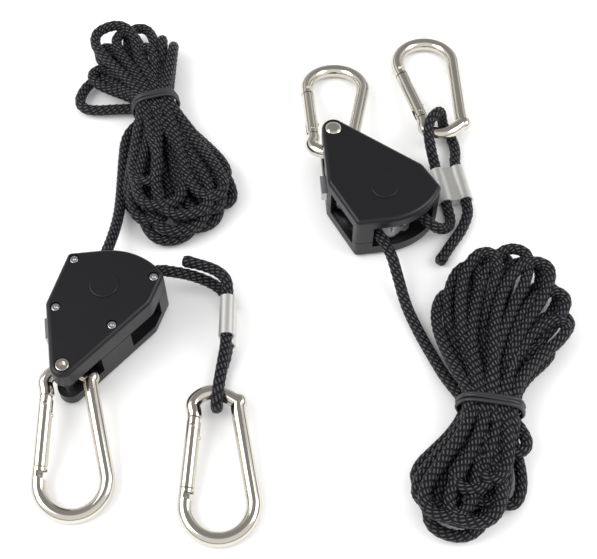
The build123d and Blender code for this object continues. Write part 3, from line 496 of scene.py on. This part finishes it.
# ---------------------------------------------------------------- tie
@dataclass
class Tie:
    """Elastic band wound a few times round a hank's waist."""

    name: str
    centre: Point
    lateral: tuple[float, float]
    width: float
    height: float
    wraps: int = 3
    spacing: float = 1.05 * MM
    cord_width: float = 1.25 * MM
    cord_height: float = 1.1 * MM
    lean: float = 0.03
    corner: float = 5.0 * MM
    corner_ease: float = 0.55
    crown: float = 0.3 * MM

    def build(self) -> bpy.types.Object:
        """Wind the band with Geometry Nodes and place it round the waist.

        Returns:
            The band as a plain mesh object.
        """
        path = bpy.data.curves.new(self.name + "_path", "CURVE")
        path.dimensions = "3D"
        spline = path.splines.new("NURBS")
        half_w, half_h, cut = self.width / 2, self.height / 2, self.corner * self.corner_ease
        outline = [(half_w, half_h - self.corner), (half_w - self.corner + cut, half_h),
                   (0.0, half_h + self.crown), (-half_w + self.corner - cut, half_h),
                   (-half_w, half_h - self.corner), (-half_w, -half_h + self.corner),
                   (-half_w + self.corner - cut, -half_h), (half_w - self.corner + cut, -half_h),
                   (half_w, -half_h + self.corner)]
        spline.points.add(len(outline) - 1)
        for point, (x, y) in zip(spline.points, outline):
            point.co = (x, y, 0.0, 1.0)
        spline.order_u = 3
        spline.use_cyclic_u = True
        spline.resolution_u = 8
        holder = link_object(self.name + "_holder", path)
        modifier = holder.modifiers.new("wrap", "NODES")
        modifier.node_group = self.wrap_tree()
        bpy.context.view_layer.update()
        wound = holder.evaluated_get(bpy.context.evaluated_depsgraph_get())
        mesh = bpy.data.meshes.new_from_object(wound)
        bpy.data.objects.remove(holder)
        side = Vector((*self.lateral, 0.0)).normalized()
        axis = side.cross(Vector((0, 0, 1)))
        turn = Matrix((side, Vector((0, 0, 1)), axis)).transposed().to_4x4()
        mesh.transform(Matrix.Translation(self.centre) @ turn)
        mesh.shade_smooth()
        mesh.name = self.name
        return link_object(self.name, mesh)

    def wrap_tree(self) -> bpy.types.NodeTree:
        """Tree that repeats the band's path along its axis and sweeps a flat oval along each.

        Returns:
            The Geometry Nodes tree.
        """
        tree = bpy.data.node_groups.new(self.name + "_wraps", "GeometryNodeTree")
        tree.interface.new_socket("Geometry", in_out="INPUT", socket_type="NodeSocketGeometry")
        for label, value in (("Spacing", self.spacing), ("Width", self.cord_width),
                             ("Height", self.cord_height)):
            socket = tree.interface.new_socket(label, in_out="INPUT", socket_type="NodeSocketFloat")
            socket.default_value = value
        wraps = tree.interface.new_socket("Wraps", in_out="INPUT", socket_type="NodeSocketInt")
        wraps.default_value = self.wraps
        tree.interface.new_socket("Geometry", in_out="OUTPUT", socket_type="NodeSocketGeometry")
        given = add_node(tree, "NodeGroupInput")
        offset = add_node(tree, "ShaderNodeCombineXYZ", None, {2: given.outputs["Spacing"]})
        row = add_node(tree, "GeometryNodeMeshLine", None, {
            "Count": given.outputs["Wraps"], "Offset": offset.outputs[0],
            "Start Location": (0.0, 0.0, -self.spacing * (self.wraps - 1) / 2)})
        tilt = add_node(tree, "FunctionNodeRandomValue", {"data_type": "FLOAT_VECTOR"}, {
            0: (-self.lean, -self.lean, 0.0), 1: (self.lean, self.lean, 0.0), "Seed": 4})
        copies = add_node(tree, "GeometryNodeInstanceOnPoints", None, {
            "Points": row.outputs[0], "Instance": given.outputs["Geometry"],
            "Rotation": tilt.outputs[0]})
        real = add_node(tree, "GeometryNodeRealizeInstances", None, {0: copies.outputs[0]})
        circle = add_node(tree, "GeometryNodeCurvePrimitiveCircle", {"mode": "RADIUS"}, {
            "Resolution": 10, "Radius": 0.5})
        flat = add_node(tree, "ShaderNodeCombineXYZ", None, {
            0: given.outputs["Height"], 1: given.outputs["Width"], 2: 1.0})
        profile = add_node(tree, "GeometryNodeTransform", None, {
            "Geometry": circle.outputs[0], "Scale": flat.outputs[0]})
        swept = add_node(tree, "GeometryNodeCurveToMesh", None, {
            0: real.outputs[0], 1: profile.outputs[0]})
        solid = add_node(tree, "GeometryNodeRealizeInstances", None, {0: swept.outputs[0]})
        dressed = add_node(tree, "GeometryNodeSetMaterial", None, {
            0: solid.outputs[0], 2: RUBBER.build()})
        add_node(tree, "NodeGroupOutput", None, {0: dressed.outputs[0]})
        return tree


# ---------------------------------------------------------------- the two hangers' ropes
RIGHT_LOAD_ROUTE: list[Point] = [
    (0.01138, -0.00261, 0.01070), (0.01533, -0.00851, 0.01070), (0.02060, -0.00700, 0.00520),
    (0.02360, -0.00260, 0.00270), (0.02289, 0.00273, 0.00260), (0.02115, 0.01228, 0.00260),
    (0.01942, 0.02182, 0.00260), (0.01760, 0.02650, 0.00750), (0.01660, 0.03350, 0.01160),
    (0.02190, 0.04020, 0.01140), (0.02320, 0.03940, 0.00200), (0.02660, 0.03320, 0.00200),
    (0.02720, 0.02700, 0.00220), (0.02631, 0.02307, 0.00260), (0.02805, 0.01352, 0.00260),
    (0.02978, 0.00398, 0.00260), (0.02930, 0.00020, 0.00250), (0.02660, -0.00580, 0.00220),
    (0.02240, -0.01160, 0.00210), (0.01870, -0.01780, 0.00220),
]
LEFT_LOAD_ROUTE: list[Point] = [
    (-0.07807, -0.03197, 0.01060), (-0.07560, -0.02532, 0.01060), (-0.06790, -0.02520, 0.00840),
    (-0.06160, -0.02520, 0.00580), (-0.05400, -0.02750, 0.00300), (-0.05070, -0.03260, 0.00260),
    (-0.05070, -0.04230, 0.00260), (-0.05070, -0.05200, 0.00260), (-0.05320, -0.06000, 0.00205),
    (-0.05340, -0.07190, 0.00200), (-0.05300, -0.07190, 0.01130), (-0.05140, -0.05800, 0.01070),
    (-0.05070, -0.05200, 0.00960), (-0.05070, -0.04230, 0.00960), (-0.05070, -0.03260, 0.00960),
    (-0.05160, -0.02760, 0.00990), (-0.05760, -0.02330, 0.00920), (-0.06560, -0.02080, 0.00820),
]
RIGHT_FREE_ROUTE: list[Point] = [
    (-0.00442, -0.00777, 0.01070), (0.00142, -0.01650, 0.01070), (0.00440, -0.02500, 0.00520),
    (0.00680, -0.03480, 0.00270), (0.01100, -0.04520, 0.00210), (0.01500, -0.05420, 0.00260),
    (0.01800, -0.06130, 0.00380),
]
LEFT_FREE_ROUTE: list[Point] = [
    (-0.09464, -0.03063, 0.01060), (-0.09099, -0.02078, 0.01060), (-0.08880, -0.00300, 0.00500),
    (-0.08910, 0.01000, 0.00240), (-0.08950, 0.02300, 0.00210), (-0.08930, 0.03450, 0.00300),
]

RIGHT_HANK = Hank(
    tie=(30.4 * MM, -72.4 * MM, 7.0 * MM), lateral=(0.986, -0.16), width=15.0 * MM,
    bow=(1.5, -3.5),
    first_side=[
        Bight(9.0, -97.0, 4.0, 5.0), Bight(9.5, -103.5, 8.0, 6.0), Bight(12.0, -108.0, 11.0, 7.0),
        Bight(15.5, -111.3, 3.5, 8.5), Bight(17.5, -108.5, 7.5, 8.0),
        Bight(20.5, -110.0, 11.0, 7.5), Bight(23.0, -105.0, 3.5, 7.0),
        Bight(20.0, -100.0, 11.0, 5.0), Bight(26.5, -103.5, 7.0, 4.0),
        Bight(27.5, -97.0, 10.5, 3.2), Bight(34.2, -102.0, 3.0, 2.9), Bight(37.0, -87.5, 8.0, 2.4),
    ],
    second_side=[
        Bight(20.6, -30.8, 4.0, 3.3), Bight(27.5, -22.5, 7.5, 4.6), Bight(33.5, -19.0, 10.5, 5.2),
        Bight(38.5, -16.6, 4.0, 6.2), Bight(43.5, -17.2, 9.5, 6.6), Bight(48.0, -20.0, 5.5, 6.6),
        Bight(50.5, -23.0, 10.5, 6.2), Bight(54.0, -28.5, 4.0, 5.6), Bight(55.6, -33.5, 9.0, 5.2),
        Bight(57.2, -40.0, 5.0, 4.6), Bight(55.0, -45.0, 10.5, 3.8), Bight(50.0, -52.0, 6.5, 3.0),
    ],
)
LEFT_HANK = Hank(
    tie=(-79.0 * MM, 44.8 * MM, 7.0 * MM), lateral=(0.97, 0.25), width=11.0 * MM,
    first_side=[
        Bight(-106.2, 54.0, 3.0, 6.8), Bight(-102.0, 61.0, 6.0, 3.6), Bight(-98.4, 79.0, 10.0, 7.2),
        Bight(-100.0, 71.5, 6.5, 3.4), Bight(-95.5, 74.0, 3.0, 3.4), Bight(-93.0, 77.5, 8.0, 4.0),
        Bight(-88.3, 82.3, 5.5, 4.8), Bight(-90.0, 70.0, 3.0, 3.0), Bight(-84.6, 70.0, 9.0, 2.6),
        Bight(-78.6, 76.0, 6.0, 2.4, 1.4), Bight(-80.0, 66.0, 3.0, 2.5, 1.0),
        Bight(-74.2, 72.6, 6.0, 2.6, 1.4),
    ],
    second_side=[
        Bight(-83.5, 2.5, 3.0, 3.0), Bight(-80.0, 9.0, 10.5, 4.5), Bight(-77.5, -4.0, 6.5, 6.5),
        Bight(-70.0, -9.4, 3.0, 9.0), Bight(-66.0, -8.0, 7.0, 9.5), Bight(-74.0, -1.0, 11.0, 8.0),
        Bight(-64.0, -4.0, 10.5, 9.0), Bight(-60.0, -4.0, 3.0, 8.0), Bight(-58.0, 0.0, 7.0, 7.0),
        Bight(-56.0, 3.5, 10.5, 5.5), Bight(-52.5, 5.5, 3.0, 4.5), Bight(-54.0, 13.0, 7.0, 3.5),
    ],
)


@dataclass
class SheaveRope:
    """Rope over one sheave, from the free leg round the groove to the load leg."""

    side: str
    axle: Point
    turn: float
    hand: int
    radius: float = 8.0 * MM
    free_leg: float = -4.0 * MM
    load_leg: float = -8.5 * MM
    corner_parts: int = 8

    def route(self) -> list[Point]:
        """Points outside the turn, each as far out as a smooth line on the groove needs.

        Returns:
            The route from the free leg to the load leg.
        """
        corner = self.radius / cos(pi / self.corner_parts)
        local = [(-self.radius, self.free_leg), (-self.radius, 0.0)]
        local += [(-corner * cos(a), corner * sin(a)) for a in (
            pi * k / self.corner_parts for k in range(1, self.corner_parts, 2))]
        local += [(self.radius, 0.0), (self.radius, self.load_leg)]
        x_axis = Vector((cos(self.turn), sin(self.turn), 0.0)) * self.hand
        y_axis = Vector((-sin(self.turn), cos(self.turn), 0.0))
        return [tuple(Vector(self.axle) + x_axis * x + y_axis * y) for x, y in local]

    def build(self) -> None:
        """Make the braided rope in place of the plain CAD one."""
        rope, _ = Rope(self.side + "_braided_sheave_rope", self.route(), cut_ends=False).build()
        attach(rope, "hangers")
        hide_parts(self.side + "_inner_rope")
        log.info("%s: %d faces", rope.name, len(rope.data.polygons))


@dataclass
class HangerRopes:
    """Both ropes of one hanger: the load rope with its loop, and the free rope with its hank."""

    side: str
    load_route: list[Point]
    free_route: list[Point]
    hank: Hank
    tie_width: float
    load_length: float
    free_length: float

    def build(self) -> None:
        load, load_path = Rope(self.side + "_braided_load_rope", self.load_route).build()
        self.place(load, "rope", self.side + "_load_rope")
        route = self.hank.route(self.free_route)
        free, free_path = Rope(self.side + "_braided_free_rope", route).build()
        self.place(free, "rope", self.side + "_free_rope", self.side + "_hank")
        tie = Tie(self.side + "_elastic_tie", self.hank.tie, self.hank.lateral,
                  self.tie_width, TIE_HEIGHT).build()
        self.place(tie, "band", self.side + "_hank_band")
        log.info("%s load rope %.4f m, free rope and hank %.4f m", self.side,
                 line_length(load_path), line_length(free_path))

    def place(self, piece: bpy.types.Object, slot: str, *nodes: str) -> None:
        """Ride a piece on the hangers' fixed body in place of some CAD nodes.

        Args:
            piece: the new piece.
            slot: the record's slot of the piece; not used.
            nodes: the CAD nodes that it stands for.
        """
        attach(piece, "hangers")
        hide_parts(*nodes)
        log.info("%s: %d faces", piece.name, len(piece.data.polygons))


# ---------------------------------------------------------------- CAD pieces, stage, camera
def dress_nodes(frame: dict) -> None:
    """Give every CAD node the finish of its record slot, apart from the ropes that are replaced.
    """
    slots = {entry["node"]: entry["material_slot"] for entry in frame["record"]["subparts"]}
    for name, piece in frame["nodes"].items():
        if name.endswith("inner_rope"):
            continue
        finish = SLOT_FINISHES[slots[name]]
        for slot in piece.material_slots:
            slot.material = finish.build()
        log.info("%s: %s", name, finish.name)


@dataclass
class Stage:
    """Pale floor, soft lights, plain world and the camera."""

    floor_size: float = 4.0
    floor_colour: str = "#f4f4f4"
    floor_roughness: float = 0.9
    camera_place: Point = (-0.02813, -0.22116, 0.3357)
    camera_tilt: float = radians(30.55)
    lens: float = 70.85
    lamp_aim: Point = (-0.03, -0.01, 0.0)
    ceiling_panel: Point = (0.0, 0.51, 0.86)
    panel_edge: tuple[float, float] = (0.62, 0.86)
    panel_level: float = 0.34
    rim_edge: tuple[float, float] = (0.02, 0.32)
    rim_levels: tuple[float, float] = (0.08, 0.95)

    def build(self) -> None:
        """Make the floor, the lights, the world and the camera."""
        self.floor()
        self.light("key", (-0.62, -0.12, 0.62), 0.6, 4.6)
        self.light("fill", (0.6, -0.05, 0.55), 0.5, 2.8)
        self.world()
        data = bpy.data.cameras.new("camera")
        data.lens = self.lens
        data.sensor_width = 36.0
        data.clip_start = 0.01
        camera = link_object("camera", data)
        camera.location = self.camera_place
        camera.rotation_euler = (self.camera_tilt, 0.0, 0.0)
        bpy.context.scene.camera = camera
        bpy.context.scene.view_settings.view_transform = "Standard"

    def floor(self) -> None:
        """Flat floor at the resting surface."""
        half = self.floor_size / 2
        mesh = bpy.data.meshes.new("floor")
        corners = [(-half, -half, 0), (half, -half, 0), (half, half, 0), (-half, half, 0)]
        mesh.from_pydata(corners, [], [(0, 1, 2, 3)])
        material = bpy.data.materials.new("white_card")
        material.use_nodes = True
        shader = material.node_tree.nodes["Principled BSDF"]
        shader.inputs["Base Color"].default_value = linear(self.floor_colour)
        shader.inputs["Roughness"].default_value = self.floor_roughness
        mesh.materials.append(material)
        link_object("floor", mesh)

    def light(self, name: str, place: Point, size: float, power: float) -> None:
        """Large soft lamp that faces the object.

        Args:
            name: the lamp's name.
            place: where it stands.
            size: the length of its side.
            power: its power in watts.
        """
        data = bpy.data.lights.new(name, "AREA")
        data.size = size
        data.energy = power
        lamp = link_object(name, data)
        lamp.location = place
        towards = Vector(self.lamp_aim) - Vector(place)
        lamp.rotation_euler = towards.to_track_quat("-Z", "Y").to_euler()

    def world(self) -> None:
        """White surroundings; gloss sees a dark panel above and a dark rim round bright walls."""
        world = bpy.data.worlds.new("studio")
        world.use_nodes = True
        tree = world.node_tree
        tree.nodes.clear()
        place = add_node(tree, "ShaderNodeTexCoord")
        parts = add_node(tree, "ShaderNodeSeparateXYZ", None, {0: place.outputs["Generated"]})
        towards = add_node(tree, "ShaderNodeVectorMath", {"operation": "DOT_PRODUCT"}, {
            0: place.outputs["Generated"], 1: self.ceiling_panel})
        panel = add_node(tree, "ShaderNodeMapRange", {"interpolation_type": "SMOOTHSTEP"}, {
            0: towards.outputs["Value"], 1: self.panel_edge[0], 2: self.panel_edge[1],
            3: 1.0, 4: self.panel_level})
        rim = add_node(tree, "ShaderNodeMapRange", {"interpolation_type": "SMOOTHSTEP"}, {
            0: parts.outputs[2], 1: self.rim_edge[0], 2: self.rim_edge[1],
            3: self.rim_levels[0], 4: self.rim_levels[1]})
        walls = add_node(tree, "ShaderNodeMath", {"operation": "MULTIPLY"}, {
            0: panel.outputs[0], 1: rim.outputs[0]})
        rays = add_node(tree, "ShaderNodeLightPath")
        level = add_node(tree, "ShaderNodeMix", {"data_type": "FLOAT"}, {
            0: rays.outputs["Is Glossy Ray"], 2: 1.0, 3: walls.outputs[0]})
        seen = add_node(tree, "ShaderNodeMix", {"data_type": "FLOAT"}, {
            0: rays.outputs["Is Camera Ray"], 2: level.outputs[0], 3: 1.0})
        background = add_node(tree, "ShaderNodeBackground", None, {
            "Color": (1, 1, 1, 1), "Strength": seen.outputs[0]})
        add_node(tree, "ShaderNodeOutputWorld", None, {"Surface": background.outputs[0]})
        bpy.context.scene.world = world


def main() -> None:
    """Load the frame, dress it, and add the ropes, the ties and the stage."""
    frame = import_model()
    dress_nodes(frame)
    SheaveRope("right", (0.0, 0.0, 10.7 * MM), radians(33.8), 1).build()
    SheaveRope("left", (-88.53 * MM, -37.16 * MM, 10.6 * MM), radians(-200.36), -1).build()
    HangerRopes("right", RIGHT_LOAD_ROUTE, RIGHT_FREE_ROUTE, RIGHT_HANK,
                tie_width=20.5 * MM, load_length=0.135, free_length=2.1).build()
    HangerRopes("left", LEFT_LOAD_ROUTE, LEFT_FREE_ROUTE, LEFT_HANK,
                tie_width=16.5 * MM, load_length=0.1405, free_length=2.1).build()
    Stage().build()


if __name__ == "__main__":
    main()
